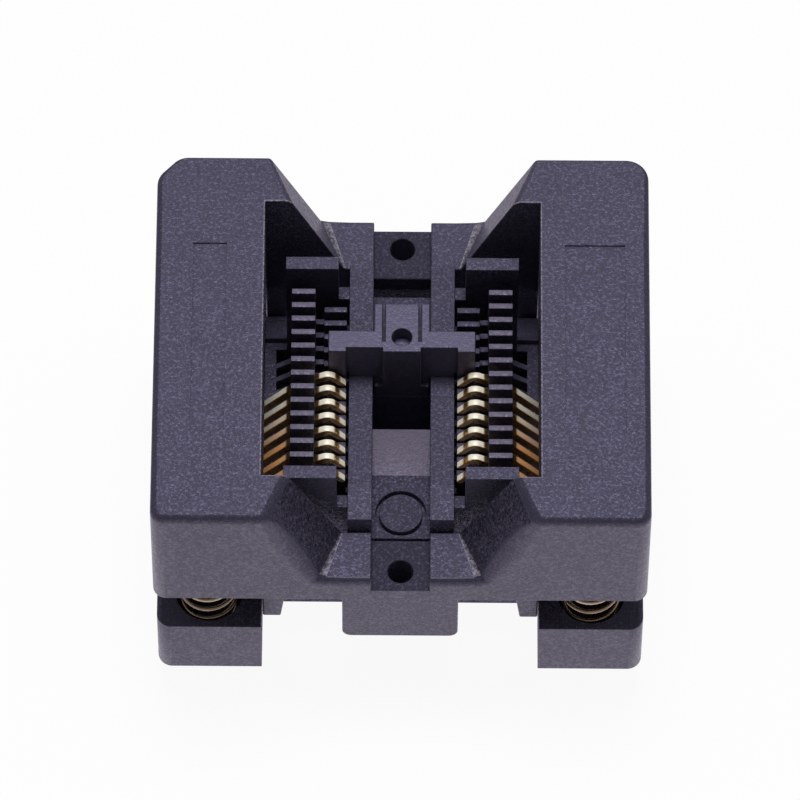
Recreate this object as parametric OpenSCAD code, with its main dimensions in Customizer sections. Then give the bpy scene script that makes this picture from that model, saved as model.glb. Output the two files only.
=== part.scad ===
// Open-top test socket for a small-outline package with gull-wing leads.
// Pressing the sprung cover swings the contact arms off the leads, and releasing
// it clamps them. Millimetres, +Z up, +Y to the rear. The origin is the middle of
// the face that sits on the circuit board.

/* [Package] */
// Distance between neighbouring leads
lead_pitch = 0.65; // [0.6:0.05:0.75]
// Leads on each side of the package
leads_per_side = 8; // [4:1:9]
// Width of the package body
package_w = 4.4; // [4.2:0.1:4.8]
// Distance from an end lead's middle to the end of the package body
lead_end = 0.225; // [0.2:0.005:0.4]
// Play between the package body and each stop
package_play = 0.05; // [0.02:0.01:0.15]

/* [Comb] */
// Contact slots on each side
slots_per_side = 14; // [12:2:16]
// Thickness of a rib between two slots
rib_t = 0.26; // [0.22:0.02:0.3]
// Room for the leads between the package body and the comb
lead_room = 1.4; // [1.3:0.05:1.6]
// Width of the comb ribs at their tops
comb_w = 1; // [0.9:0.05:1.2]
// Height of the comb above the seat
comb_rise = 1.69; // [1.4:0.05:2]
// Height of the ribs' outer shoulders above the side blocks
rib_shoulder = 0.55; // [0.3:0.05:0.8]
// Height of the lead guides above the seat
guide_rise = 0.2; // [0.1:0.05:0.4]
// Distance of the lead guides from the package's side
guide_gap = 0.1; // [0.06:0.02:0.14]
// Width of the lead guides from the package's side
guide_w = 1.05; // [0.8:0.05:1.2]
// Depth of the notch between the lead guides and the comb
guide_notch = 1; // [0.6:0.05:1.4]
// Thickness of the wall at each end of the comb
end_wall_t = 0.6; // [0.5:0.05:0.8]
// Height of the end walls above the comb
end_wall_rise = 0.46; // [0.2:0.02:0.6]
// Distance of the end walls' tops from the package's side
end_wall_in = 0.45; // [0.3:0.05:0.6]
// Drop from the seat to the web between each end wall and the rail
end_web_drop = 0.3; // [0.1:0.05:0.35]
// Reach of the end walls past the comb's outer side
end_wall_reach = 0.26; // [0.1:0.02:0.4]
// Space between the last slot and the end wall
end_wall_gap = 0.15; // [0.1:0.01:0.25]

/* [Base] */
// Height of the package seat above the board
seat_h = 8; // [7.6:0.1:8.4]
// Width of each seat rail
rail_w = 1; // [0.8:0.05:1.2]
// Reach of the rails past the comb's end walls
rail_reach = 0.9; // [0.6:0.05:1]
// Height of the front stops above the seat
stop_rise = 0.3; // [0.2:0.05:0.6]
// Depth of the trough between the rails
trough_depth = 1.3; // [1:0.05:1.6]
// Distance of the trough's rear end from the rails' ends
trough_inset = 0.8; // [0.6:0.05:1]
// Depth of the recess under the package, below the seat
recess_depth = 4.6; // [4:0.1:5.4]
// Distance from the front stops to the foot of the ramp
ramp_inset = 1.3; // [1:0.05:1.6]
// Length of the ramp in front of the recess
ramp_l = 1.55; // [1.2:0.05:1.8]
// Drop from the seat to the ramp's rear edge
ramp_drop = 0.12; // [0.1:0.02:0.4]
// Outer diameter of the ring groove in the trough
ring_d = 2.1; // [1.6:0.05:2.15]
// Width of the ring groove
ring_w = 0.15; // [0.12:0.01:0.25]
// Depth of the ring groove
ring_depth = 0.3; // [0.1:0.05:0.5]
// Distance from the foot of the ramp to the ring groove
ring_inset = 0.74; // [0.3:0.02:0.76]
// Thickness of the floor that carries the contacts
floor_t = 1.6; // [1.3:0.05:2]
// Reach of the floor past the comb's end walls
floor_reach = 0.25; // [0.1:0.05:0.4]
// Space between the comb and the side blocks
block_gap = 0.7; // [0.6:0.05:0.8]
// Height of the side blocks and feet
foot_h = 3.47; // [3.2:0.05:3.8]
// Distance of the feet's inner sides from the window's sides
foot_step = 0.06; // [0.02:0.02:0.2]
// Distance of the feet's outer sides from the cover's sides
foot_inset = 0.1; // [0:0.05:0.3]
// Radius of the feet's outer corners
foot_r = 0.6; // [0.3:0.05:0.9]
// Thickness of the catch for a hook
catch_t = 0.75; // [0.5:0.05:0.8]
// Diameter of a locating peg
peg_d = 1.4; // [1:0.1:1.8]
// Distance of a peg's axis from the feet's ends
peg_inset = 3.2; // [2:0.1:4]
// Length of the locating pegs and the contact tails below the board face
peg_l = 2; // [1.6:0.1:3]

/* [Cover] */
// Travel of the cover
travel = 2; // [1.6:0.1:2.2]
// Gap left under the pressed cover
pressed_gap = 0.42; // [0.3:0.02:0.6]
// Height of the cover
cover_h = 6.69; // [6.4:0.05:7.2]
// Width of each side bar
side_bar_w = 4.5; // [4.2:0.1:5]
// Thickness of each end bar
end_bar_t = 2.39; // [2.1:0.01:2.6]
// How far each end bar's inner face leans out from bottom to top
end_bar_draft = 0.26; // [0.1:0.02:0.4]
// Room for the contact arms between the comb and the side bars
arm_room = 1.11; // [1:0.05:1.3]
// Gap between the rails and the end bars
rail_gap = 0.06; // [0.05:0.01:0.3]
// Height of the end bars' low middle
end_bar_low = 1.57; // [1.3:0.05:2]
// Half width of the notch at its floor and inner face
notch_floor = 2.41; // [2.35:0.02:2.7]
// How far each notch side leans out from floor to top
notch_lean = 2.12; // [1.8:0.02:2.4]
// How far each notch side flares out from inner to outer face
notch_flare = 1; // [0.8:0.05:1.2]
// Distance of the notch floor's straight creases from the notch sides at the inner face
crease_inset = 0.16; // [0.12:0.02:0.3]
// Distance of its slanting creases from the notch sides at the inner face
slant_inset = 0.06; // [0.02:0.01:0.1]
// Distance of its slanting creases from the notch sides at the outer face
slant_flare = 0.3; // [0.2:0.02:0.4]
// Slope of the facets outside the straight creases, in degrees
facet_slope = 3; // [2:0.5:6]
// Slope that the facets gain at the slanting creases, in degrees
slant_slope = 14; // [8:1:20]
// Depth of the channel in the notch floor
channel_depth = 0.75; // [0.5:0.05:0.9]
// Diameter of the hole in the channel
channel_hole_d = 1.05; // [0.8:0.05:1.2]
// Depth of that hole below the channel
channel_hole_depth = 2; // [1.6:0.1:2.4]
// Distance of that hole's axis from the cover's outer face
channel_hole_in = 0.9; // [0.8:0.05:1.1]
// Width of the tongue below each end bar
tongue_w = 4.8; // [4:0.1:5]
// Thickness of the tongue
tongue_t = 1.6; // [1.5:0.05:1.8]
// Distance of the tongue's outer face behind the cover's
tongue_inset = 0.06; // [0.02:0.01:0.15]
// Length of the tongue below the end bar
tongue_l = 3.22; // [2.6:0.02:3.3]
// Radius of the tongue's lower corners
tongue_r = 0.4; // [0.2:0.05:0.6]
// Width of a hook leg
hook_w = 0.94; // [0.7:0.02:1]
// Thickness of a hook leg
hook_t = 1.2; // [0.9:0.05:1.3]
// Length of the hook legs below the end bar
hook_l = 3.5; // [3.2:0.05:3.6]
// How far a hook leg's inner side tapers towards its end
hook_taper = 0.25; // [0.1:0.05:0.4]
// Height of the hook's nose
nose_h = 0.6; // [0.4:0.05:0.8]
// Reach of the hook's nose
nose_reach = 0.45; // [0.3:0.05:0.6]
// Size of the index chamfer on one rear corner
index_chamfer = 0.95; // [0.6:0.05:1.2]
// Radius of the other rear corner
rear_r = 0.95; // [0.5:0.05:1.2]
// Radius of the front corners
front_r = 0.55; // [0.3:0.05:0.9]
// Thickness of the walls round the hollows under the side bars
core_wall = 1.3; // [1:0.05:1.5]
// Length of the bare label recesses on the side bars
label_l = 9; // [6:0.5:11]
// Width of the left label recess
label_left_w = 1.4; // [1:0.1:2.4]
// Width of the right label recess
label_right_w = 2.5; // [1.4:0.1:2.8]
// Depth of the label recesses
label_depth = 0.12; // [0.08:0.01:0.2]

/* [Rear stop] */
// Thickness of the stop's bar
bar_t = 1; // [0.8:0.05:1.2]
// Height of the stop above the seat
bar_rise = 2.4; // [2:0.1:2.6]
// Gap between the bar's ends and the comb
bar_end_gap = 0.55; // [0.4:0.05:0.7]
// Depth of the two reliefs in the bar's front face
relief_depth = 0.2; // [0.1:0.02:0.3]
// Width of each relief
relief_w = 1.5; // [1:0.1:1.8]
// Distance of the reliefs from the middle
relief_in = 0.8; // [0.6:0.05:1]
// Length of the stop's tail behind the bar
stop_tail_l = 1.3; // [1:0.1:1.6]
// Width of the boss on the tail
boss_w = 1.4; // [1.2:0.05:1.6]
// Width and depth of the grooves beside the boss
boss_groove = 0.1; // [0.06:0.02:0.16]
// Diameter of the hole in the boss
boss_hole_d = 0.82; // [0.6:0.02:1]
// Depth of the hole in the boss
boss_hole_depth = 0.8; // [0.5:0.05:1]
// Distance of that hole's axis from the stop's front face
boss_hole_in = 0.7; // [0.55:0.05:0.9]

/* [Springs] */
// Outer diameter of a spring
spring_d = 2.5; // [2.2:0.05:2.7]
// Diameter of the spring wire
wire_d = 0.2; // [0.16:0.02:0.26]
// Working turns of a spring
spring_turns = 8; // [6:1:9]
// Wall between a spring's pocket and the cover's outer face
spring_wall = 0.3; // [0.25:0.05:0.5]
// Depth of the spring pockets in the feet
foot_pocket = 2; // [1.6:0.1:2.2]
// Depth of the spring pockets in the cover
cover_pocket = 2.6; // [2.2:0.1:3.2]

/* [Contacts] */
// Thickness of the contact strip
strip_t = 0.28; // [0.22:0.01:0.29]
// Width of the contact arm across its bends
arm_w = 0.4; // [0.3:0.02:0.44]
// Diameter of the arm's tip
tip_d = 0.28; // [0.2:0.02:0.32]
// Distance of the tip from the package's side, and its height above the seat
tip_out = 0.25; // [0.2:0.01:0.35]
// Distance of the arm's crest from the package's side
crest_out = 0.86; // [0.8:0.02:0.95]
// Height of the arm's crest above the seat
crest_rise = 1; // [0.8:0.05:1.2]
// Outer radius of the arm's crest
crest_r = 0.42; // [0.36:0.02:0.5]
// Distance of the arm's shoulder from the comb's inner side
shoulder_in = 0.3; // [0.2:0.02:0.4]
// Height of the arm's shoulder above the seat
shoulder_rise = 0.3; // [0.2:0.05:0.5]
// Drop from the seat to the arm's elbow
elbow_drop = 0.37; // [0.2:0.02:0.5]
// Reach of the arm's heel past the window's side
heel_reach = 0.29; // [0.2:0.01:0.35]
// Drop from the cover's lower edge to the heel
heel_drop = 0.04; // [0:0.01:0.1]
// Angle through which the cover swings the arms
arm_swing = 28; // [20:1:30]
// Diameter of the knuckle that an arm turns on
knuckle_d = 0.6; // [0.5:0.02:0.7]
// Drop from the seat to the knuckle's axis
knuckle_drop = 1.35; // [1.2:0.05:1.5]
// Width of the upright post under the knuckle
post_w = 0.5; // [0.4:0.02:0.54]
// Height of the contact's foot above the floor
contact_foot_h = 0.6; // [0.4:0.05:0.8]
// Distance of the lead's pad from the package's side
pad_out = 0.75; // [0.7:0.05:0.85]
// Drop from the seat to the middle of the pad's end
pad_drop = 0.35; // [0.3:0.05:0.5]
// Drop from the seat to the bend under the pad
pad_branch_drop = 2.8; // [2.4:0.1:3.2]
// Drop of the pad's branch towards the post
branch_drop = 0.5; // [0.3:0.05:0.8]
// Width of a solder tail
tail_w = 0.4; // [0.3:0.02:0.5]
// Distance of each row of tails from its side of the comb
tail_row = 0.35; // [0.3:0.05:0.45]

/* [Clearances] */
// Clearance round each knuckle
knuckle_gap = 0.03; // [0.02:0.01:0.08]
// Gap between an arm's heel and the cover's cam face
cam_gap = 0.1; // [0.08:0.01:0.2]
// Gap between each hook's nose and its catch
catch_gap = 0.05; // [0.02:0.01:0.1]
// Gap between a sliding piece and its neighbour
slide_gap = 0.15; // [0.1:0.01:0.25]
// Gap between a seated piece and the sides of its seat
seat_gap = 0.05; // [0.03:0.01:0.08]
// Gap at each end of a spring
spring_gap = 0.02; // [0.01:0.01:0.05]

/* [Hidden] */
$fn = 48;
SIDES = ["left", "right"];
CORNERS = [for (y = ["front", "rear"], x = SIDES) [x, y]];
CONTACT_NODES = [for (side = SIDES, part = ["stem", "arm"], i = [1:leads_per_side])
    str("contact_", part, "_", side, "_", i)];
SPRING_NODES = [for (c = CORNERS) str("spring_", c.y, "_", c.x)];

// Colours of the real materials
PLASTIC = "#2e2b33";
INSERT = "#38353d";
GOLD = "#c9973f";
BRONZE = "#a8864a";

// A cut or a joining block runs this far past the face that it meets
over = 0.5;

// Places along X, from the middle out
seat_x = package_w / 2;
trough_x = seat_x - rail_w;
comb_in = seat_x + lead_room;
comb_out = comb_in + comb_w;
block_in = comb_out + block_gap;
window_x = comb_out + arm_room;
cover_x = window_x + side_bar_w;
bar_mid_x = (window_x + cover_x) / 2;
foot_in = window_x + foot_step;
foot_out = cover_x - foot_inset;
hook_x = foot_in - seat_gap;

// Places along Y, from the middle out
comb_y = slots_per_side * lead_pitch / 2;
end_in = comb_y + end_wall_gap;
end_out = end_in + end_wall_t;
floor_y = end_out + floor_reach;
rail_y = end_out + rail_reach;
window_y = rail_y + rail_gap;
cover_y = window_y + end_bar_t;
hook_y = window_y + seat_gap;
package_l = (leads_per_side - 1) * lead_pitch + 2 * lead_end;
package_y = (leads_per_side - slots_per_side) * lead_pitch / 2;
front_stop_y = package_y - package_l / 2 - package_play;
rear_stop_y = package_y + package_l / 2 + package_play;
ramp_front = front_stop_y + ramp_inset;
ramp_rear = ramp_front + ramp_l;
ring_y = ramp_front - ring_inset - ring_d / 2;

// Heights, from the board up
cover_z = foot_h + travel + pressed_gap;
cover_top = cover_z + cover_h;
notch_z = cover_z + end_bar_low;
comb_top = seat_h + comb_rise;
end_wall_top = comb_top + end_wall_rise;
trough_z = seat_h - trough_depth;
guide_z = seat_h + guide_rise;
branch_z = seat_h - pad_branch_drop;
hook_z = cover_z - hook_l;
catch_z = hook_z + nose_h + catch_gap;

// The springs stand in the corners, half way across the feet
pocket_r = spring_d / 2 + slide_gap;
spring_x = (foot_in + foot_out) / 2;
spring_y = cover_y - spring_wall - pocket_r;
spring_low = foot_h - foot_pocket;
spring_high = cover_z + cover_pocket;

// Points of a contact in its own plane: distance from the middle, and height
knuckle = [comb_in + comb_w / 2, seat_h - knuckle_drop];
tip = [seat_x + tip_out, seat_h + tip_out];
crest = [seat_x + crest_out, seat_h + crest_rise - crest_r];
shoulder = [comb_in + shoulder_in, seat_h + shoulder_rise];
elbow = [comb_out, seat_h - elbow_drop];
heel = [window_x + heel_reach, cover_z - heel_drop];
pad = [seat_x + pad_out, seat_h - pad_drop];
pad_bend = [pad.x, branch_z];
branch_root = [knuckle.x, branch_z - branch_drop];
tail_rows = [comb_in - tail_row, comb_out + tail_row];

// A point of an arm after the arm has turned by an angle
function swung(p, angle) = knuckle + [
    (p.x - knuckle.x) * cos(angle) + (p.y - knuckle.y) * sin(angle),
    (p.y - knuckle.y) * cos(angle) - (p.x - knuckle.x) * sin(angle)];

// The cam face runs beside the path of the heel, as the moving cover sees it
heel_end = swung(heel, arm_swing) + [0, travel];
heel_way = (heel_end - heel) / norm(heel_end - heel);
cam_start = heel + (arm_w / 2 + cam_gap) * [heel_way.y, -heel_way.x];
function cam_at_height(z) = cam_start.x + (z - cam_start.y) * heel_way.x / heel_way.y;
function cam_at_width(x) = cam_start.y + (x - cam_start.x) * heel_way.y / heel_way.x;

// Where a leg of the given width leaves the crest: the angle round the crest at which
// their outsides meet, and the leg's middle there
function leg_turn(end, w, way) = let (to = end - crest)
    atan2(to.y, to.x) + (to.x < 0 ? 360 : 0) + way * acos((crest_r - w / 2) / norm(to));
function crest_side(turn, w) = crest + (crest_r - w / 2) * [cos(turn), sin(turn)];

// Slots count from the rear; the package's leads take those nearest the front
function slot_y(k) = (slots_per_side / 2 - k + 0.5) * lead_pitch;
function lead_slot(i) = slots_per_side - leads_per_side + i;
function side_sign(side) = side == "left" ? -1 : 1;

// A plate of the given thickness, drawn in a contact's plane and set at a place along Y
module plate_at(y, t) {
    translate([0, y + t / 2, 0]) rotate([90, 0, 0]) linear_extrude(t) children();
}

// A prism across X, drawn in the plane of Y and Z
module prism_across(x0, x1) {
    rotate([90, 0, 90]) translate([0, 0, x0]) linear_extrude(x1 - x0) children();
}

// A shape that is drawn on the right, or its mirror image on the left
module on_side(sign) {
    mirror([sign < 0 ? 1 : 0, 0, 0]) children();
}

// Both sides of a shape that is drawn on the right
module both_sides() {
    for (s = [-1, 1]) on_side(s) children();
}

// Both ends of a shape that is drawn at the front
module both_ends() {
    children();
    mirror([0, 1, 0]) children();
}

// A strip with round ends between two points
module strip(a, b, w) {
    way = b - a;
    translate(a) rotate(atan2(way.y, way.x)) translate([0, -w / 2]) square([norm(way), w]);
    for (p = [a, b]) translate(p) circle(d = w);
}

// A block between two opposite corners
module block(low, high) {
    translate(low) cube(high - low);
}

// A cutter that rounds the upright edge at the front right corner of a block
module edge_cutter(x, y, r, z0, z1) {
    difference() {
        block([x - r, -y - over, z0 - over], [x + over, -y + r, z1 + over]);
        translate([x - r, -y + r, z0 - 2 * over]) cylinder(r = r, h = z1 - z0 + 4 * over);
    }
}

// One rib: a low foot, the lead guide inside and the tall finger outside
module rib_outline() {
    spine_side = seat_x - over / 2;
    block_side = block_in + over / 2;
    guide_in = seat_x + guide_gap;
    guide_out = seat_x + guide_w;
    polygon([
        [spine_side, floor_t - over], [block_side, floor_t - over], [block_side, foot_h],
        [block_in, foot_h], [comb_out, foot_h + rib_shoulder], [comb_out, comb_top],
        [comb_in, comb_top], [comb_in, guide_z - guide_notch], [guide_out, guide_z - guide_notch],
        [guide_out, guide_z], [guide_in, guide_z], [guide_in, trough_z], [spine_side, trough_z]]);
}

// The spine between the combs: two seat rails, the front stops and the trough
module spine() {
    difference() {
        union() {
            block([-seat_x, -rail_y, 0], [seat_x, rail_y, seat_h]);
            block([-seat_x, -rail_y, floor_t], [seat_x, front_stop_y, seat_h + stop_rise]);
        }
        block([-trough_x, -rail_y - over, trough_z], [trough_x, rail_y + over, seat_h + 2 * over]);
        block([-trough_x, rail_y - trough_inset, seat_h - recess_depth], [trough_x, rail_y + over, seat_h]);
        block([-trough_x, ramp_rear, seat_h - recess_depth], [trough_x, rear_stop_y, seat_h + over]);
        ring_groove();
    }
    ramp();
}

// The ring groove in the front of the trough
module ring_groove() {
    translate([0, ring_y, trough_z - ring_depth]) difference() {
        cylinder(d = ring_d, h = ring_depth + over);
        translate([0, 0, -over]) cylinder(d = ring_d - 2 * ring_w, h = ring_depth + 3 * over);
    }
}

// The ramp rises from the trough towards the recess
module ramp() {
    prism_across(-trough_x, trough_x)
        polygon([[ramp_front, trough_z], [ramp_rear, seat_h - ramp_drop], [ramp_rear, trough_z - over],
            [ramp_front, trough_z - over]]);
}

// A side block with its two feet, on the right
module side_block() {
    difference() {
        union() {
            block([foot_in, -cover_y, 0], [foot_out, cover_y, foot_h]);
            block([block_in, -floor_y, 0], [foot_in + over, floor_y, foot_h]);
        }
        both_ends() {
            edge_cutter(foot_out, cover_y, foot_r, 0, foot_h);
            translate([spring_x, -spring_y, spring_low]) cylinder(r = pocket_r, h = foot_pocket + over);
        }
    }
}

// The holes that the contact tails pass through
module tail_holes() {
    hole_t = strip_t + 2 * seat_gap;
    hole_w = tail_w + 2 * seat_gap;
    both_sides() for (k = [1:slots_per_side])
        translate([tail_rows[k % 2] - hole_w / 2, slot_y(k) - hole_t / 2, -over])
            cube([hole_w, hole_t, floor_t + 2 * over]);
}

// The wall at the front end of the right comb, with low webs to the rail and the side block
module end_wall() {
    block([seat_x - over / 2, -end_out, floor_t - over / 2],
        [comb_in, -end_in, seat_h - end_web_drop]);
    block([seat_x + end_wall_in, -end_out, floor_t - over / 2],
        [comb_out + end_wall_reach, -end_in, end_wall_top]);
    block([comb_out, -end_out, floor_t - over / 2], [block_in + over / 2, -end_in, foot_h]);
}

// The catch for the hook at the front right
module catch() {
    block([hook_x - hook_w, -hook_y + slide_gap, catch_z],
        [foot_in + over, -floor_y + over, catch_z + catch_t]);
}

// Two pegs on a diagonal find their holes in the board
module pegs() {
    for (s = [-1, 1]) translate([s * spring_x, s * (cover_y - peg_inset), -peg_l])
        cylinder(d = peg_d, h = peg_l);
}

module base_housing() {
    color(PLASTIC) {
        difference() {
            union() {
                block([-block_in - over / 2, -floor_y, 0], [block_in + over / 2, floor_y, floor_t]);
                both_sides() side_block();
                spine();
            }
            tail_holes();
        }
        both_sides() {
            for (k = [1:slots_per_side - 1])
                plate_at((slot_y(k) + slot_y(k + 1)) / 2, rib_t) rib_outline();
            both_ends() {
                end_wall();
                catch();
            }
        }
        pegs();
    }
}

// The flared notch in the front bar, drawn past both faces of the bar.
// Its floor is level in the middle, and two facets a side rise to the leaning sides.
module notch() {
    top = cover_top + over;
    lean = notch_lean / (cover_top - notch_z);
    rise = tan(facet_slope);
    gain = tan(slant_slope);
    crease_x = notch_floor - crease_inset;
    ends = [-cover_y - over, -window_y + over / 5];
    half = [for (y = ends)
        let (share = (-y - window_y) / end_bar_t,
            floor_x = notch_floor + notch_flare * share,
            slant_x = floor_x - slant_inset - (slant_flare - slant_inset) * share,
            edge_x = (floor_x - lean * (rise * crease_x + gain * slant_x)) / (1 - lean * (rise + gain)))
            [[crease_x, notch_z], [slant_x, notch_z + rise * (slant_x - crease_x)],
                [edge_x, notch_z + rise * (edge_x - crease_x) + gain * (edge_x - slant_x)],
                [floor_x + lean * (top - notch_z), top]]];
    outlines = [for (h = half) concat(h, [for (i = [3:-1:0]) [-h[i].x, h[i].y]])];
    n = len(outlines[0]);
    polyhedron(
        [for (e = [0, 1], p = outlines[e]) [p.x, ends[e], p.y]],
        concat([[for (i = [n - 1:-1:0]) i]], [[for (i = [0:n - 1]) n + i]],
            [for (i = [0:n - 1]) [i, (i + 1) % n, n + (i + 1) % n, n + i]]));
}

// The channel in the low middle of the front bar, with its round hole
module channel() {
    channel_z = notch_z - channel_depth;
    block([-trough_x, -cover_y - over, channel_z], [trough_x, -window_y + over, notch_z + over]);
    translate([0, -cover_y + channel_hole_in, channel_z - channel_hole_depth])
        cylinder(d = channel_hole_d, h = channel_hole_depth + over);
}

// The cam face under the right bar, which drives the heels of the contact arms
module cam_cut() {
    low = cover_z - over;
    cam_top = cam_at_width(window_x);
    plate_at(0, 2 * end_in)
        polygon([[window_x - over, low], [cam_at_height(low), low], [window_x, cam_top],
            [window_x - over, cam_top]]);
}

// A hook leg under the front bar, on the right
module hook() {
    back = -hook_y - hook_t;
    nose = -hook_y + nose_reach;
    inner = hook_x - hook_w;
    low = hook_z - over;
    difference() {
        prism_across(inner, hook_x)
            polygon([[back, cover_z + over], [back, hook_z], [-hook_y, hook_z], [nose, hook_z + nose_h / 2],
                [nose, hook_z + nose_h], [-hook_y, hook_z + nose_h], [-hook_y, cover_z + over]]);
        plate_at(-hook_y, 4 * hook_t)
            polygon([[inner - over, low], [inner + hook_taper, low], [inner, hook_z + hook_l / 2],
                [inner - over, hook_z + hook_l / 2]]);
    }
}

// The tongue under the front bar
module tongue() {
    low = cover_z - tongue_l;
    half = tongue_w / 2;
    plate_at(-cover_y + tongue_inset + tongue_t / 2, tongue_t) {
        translate([-half, low + tongue_r]) square([tongue_w, tongue_l - tongue_r + over]);
        translate([-half + tongue_r, low]) square([tongue_w - 2 * tongue_r, tongue_r + over]);
        for (s = [-1, 1]) translate([s * (half - tongue_r), low + tongue_r]) circle(r = tongue_r);
    }
}

// Two hollows in the underside of the right bar keep its walls even
module core_pockets() {
    x0 = cam_at_height(cover_z) + core_wall / 2;
    both_ends() block([x0, -end_in + core_wall / 2, cover_z - over],
        [cover_x - core_wall, -core_wall / 2, cover_top - core_wall]);
}

// The chamfer that marks the first lead's corner
module index_corner() {
    side = index_chamfer * sqrt(2);
    translate([-cover_x, cover_y, cover_z - over]) rotate(45)
        translate([-side, -side / 2, 0]) cube([2 * side, side, cover_h + 2 * over]);
}

// A bare shallow recess on a side bar
module label_recess(x, w) {
    block([x - w / 2, -label_l / 2, cover_top - label_depth], [x + w / 2, label_l / 2, cover_top + over]);
}

// The window, whose ends lean out towards the top
module window() {
    lean = end_bar_draft / cover_h * over;
    low = window_y - lean;
    high = window_y + end_bar_draft + lean;
    prism_across(-window_x, window_x)
        polygon([[-low, cover_z - over], [low, cover_z - over], [high, cover_top + over],
            [-high, cover_top + over]]);
}

module cover() {
    color(PLASTIC) difference() {
        union() {
            block([-cover_x, -cover_y, cover_z], [cover_x, cover_y, cover_top]);
            both_ends() {
                tongue();
                both_sides() hook();
            }
        }
        window();
        both_ends() {
            notch();
            channel();
        }
        both_sides() {
            cam_cut();
            core_pockets();
            both_ends() translate([spring_x, -spring_y, cover_z - over])
                cylinder(r = pocket_r, h = cover_pocket + over);
            edge_cutter(cover_x, cover_y, front_r, cover_z, cover_top);
        }
        mirror([0, 1, 0]) edge_cutter(cover_x, cover_y, rear_r, cover_z, cover_top);
        index_corner();
        label_recess(-bar_mid_x, label_left_w);
        label_recess(bar_mid_x, label_right_w);
    }
}

// The insert that stops the package at the rear: a bar on the rails, keyed into the trough
module rear_stop() {
    bar_x = comb_in - bar_end_gap;
    key_x = trough_x - seat_gap;
    top = seat_h + bar_rise;
    front = rear_stop_y;
    back = front + bar_t + stop_tail_l;
    color(INSERT) difference() {
        union() {
            block([-bar_x, front, seat_h], [bar_x, front + bar_t, top]);
            block([-key_x, front, trough_z], [key_x, back, top]);
        }
        both_sides() block([boss_w / 2, front + bar_t / 2, top - boss_groove],
            [boss_w / 2 + boss_groove, back + over, top + over]);
        both_sides() block([seat_x, front - over, seat_h - over],
            [bar_x + over, front + bar_t + over, guide_z + seat_gap]);
        both_sides() block([relief_in, front - over, seat_h - over],
            [relief_in + relief_w, front + relief_depth, top + over]);
        translate([0, front + boss_hole_in, top - boss_hole_depth])
            cylinder(d = boss_hole_d, h = boss_hole_depth + over);
    }
}

// The fixed part of a contact: tail, foot, post with the knuckle's cradle, and the lead's pad
module stem_outline(row) {
    foot_x0 = min(row, knuckle.x) - tail_w / 2;
    foot_x1 = max(row, knuckle.x) + tail_w / 2;
    difference() {
        union() {
            translate([foot_x0, floor_t]) square([foot_x1 - foot_x0, contact_foot_h]);
            translate([knuckle.x - post_w / 2, floor_t]) square([post_w, knuckle.y - floor_t]);
            strip(branch_root, pad_bend, arm_w);
            strip(pad_bend, pad, arm_w);
            translate([row - tail_w / 2, -peg_l]) square([tail_w, peg_l + floor_t + contact_foot_h]);
        }
        translate(knuckle) circle(d = knuckle_d + 2 * knuckle_gap);
    }
}

// The arch over the lead: a round crest, with the legs to the tip and the shoulder
// running on from its outside
module crest_arch() {
    tip_turn = leg_turn(tip, tip_d, -1);
    shoulder_turn = leg_turn(shoulder, arm_w, 1);
    intersection() {
        translate(crest) difference() {
            circle(r = crest_r);
            circle(r = crest_r - tip_d);
        }
        polygon([crest, for (a = [shoulder_turn, 90, tip_turn]) crest + 2 * crest_r * [cos(a), sin(a)]]);
    }
    strip(crest_side(tip_turn, tip_d), tip, tip_d);
    strip(crest_side(shoulder_turn, arm_w), shoulder, arm_w);
}

// The moving part of a contact: the arch over the lead, its knuckle and the heel on the cam
module arm_outline() {
    translate(knuckle) circle(d = knuckle_d);
    strip(knuckle, shoulder, arm_w);
    crest_arch();
    strip(shoulder, elbow, arm_w);
    strip(elbow, heel, arm_w);
}

module contact_stem(side, i) {
    k = lead_slot(i);
    color(GOLD) on_side(side_sign(side)) plate_at(slot_y(k), strip_t) stem_outline(tail_rows[k % 2]);
}

module contact_arm(side, i) {
    color(GOLD) on_side(side_sign(side)) plate_at(slot_y(lead_slot(i)), strip_t) arm_outline();
}

// Height of the spring wire's middle after some turns: closed ends, even turns between
spring_l = spring_high - spring_low - 2 * spring_gap;
end_rise = wire_d * 1.05;
spring_pitch = (spring_l - wire_d - 2 * end_rise) / spring_turns;
function wire_z(turn) = wire_d / 2 + (
    turn < 1 ? turn * end_rise :
    turn > spring_turns + 1 ? end_rise + spring_turns * spring_pitch + (turn - spring_turns - 1) * end_rise :
    end_rise + (turn - 1) * spring_pitch);

// A coil spring in one corner, swept as one wire
module spring(corner) {
    steps = 14;
    sides = 6;
    rings = (spring_turns + 2) * steps;
    mean_r = (spring_d - wire_d) / 2;
    points = [for (i = [0:rings], j = [0:sides - 1])
        let (a = i * 360 / steps, b = j * 360 / sides, r = mean_r + wire_d / 2 * cos(b))
            [r * cos(a), r * sin(a), wire_z(i / steps) + wire_d / 2 * sin(b)]];
    walls = [for (i = [0:rings - 1], j = [0:sides - 1])
        let (a = i * sides + j, b = i * sides + (j + 1) % sides)
            [a, b, b + sides, a + sides]];
    first_end = [for (j = [sides - 1:-1:0]) j];
    last_end = [for (j = [0:sides - 1]) rings * sides + j];
    x = side_sign(corner.x) * spring_x;
    y = corner.y == "front" ? -spring_y : spring_y;
    color(BRONZE) translate([x, y, spring_low + spring_gap])
        polyhedron(points, concat(walls, [first_end, last_end]));
}

base_housing();
cover();
rear_stop();
for (c = CORNERS) spring(c);
for (side = SIDES, i = [1:leads_per_side]) {
    contact_stem(side, i);
    contact_arm(side, i);
}
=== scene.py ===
"""Looks of a sprung, open-top test socket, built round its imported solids.

Every length is in metres in the shared frame: +Z out of the board, +X across the contact rows, +Y to the rear.
"""

import logging
import math
from collections.abc import Callable
from dataclasses import dataclass
from enum import Enum
from itertools import combinations

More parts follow.
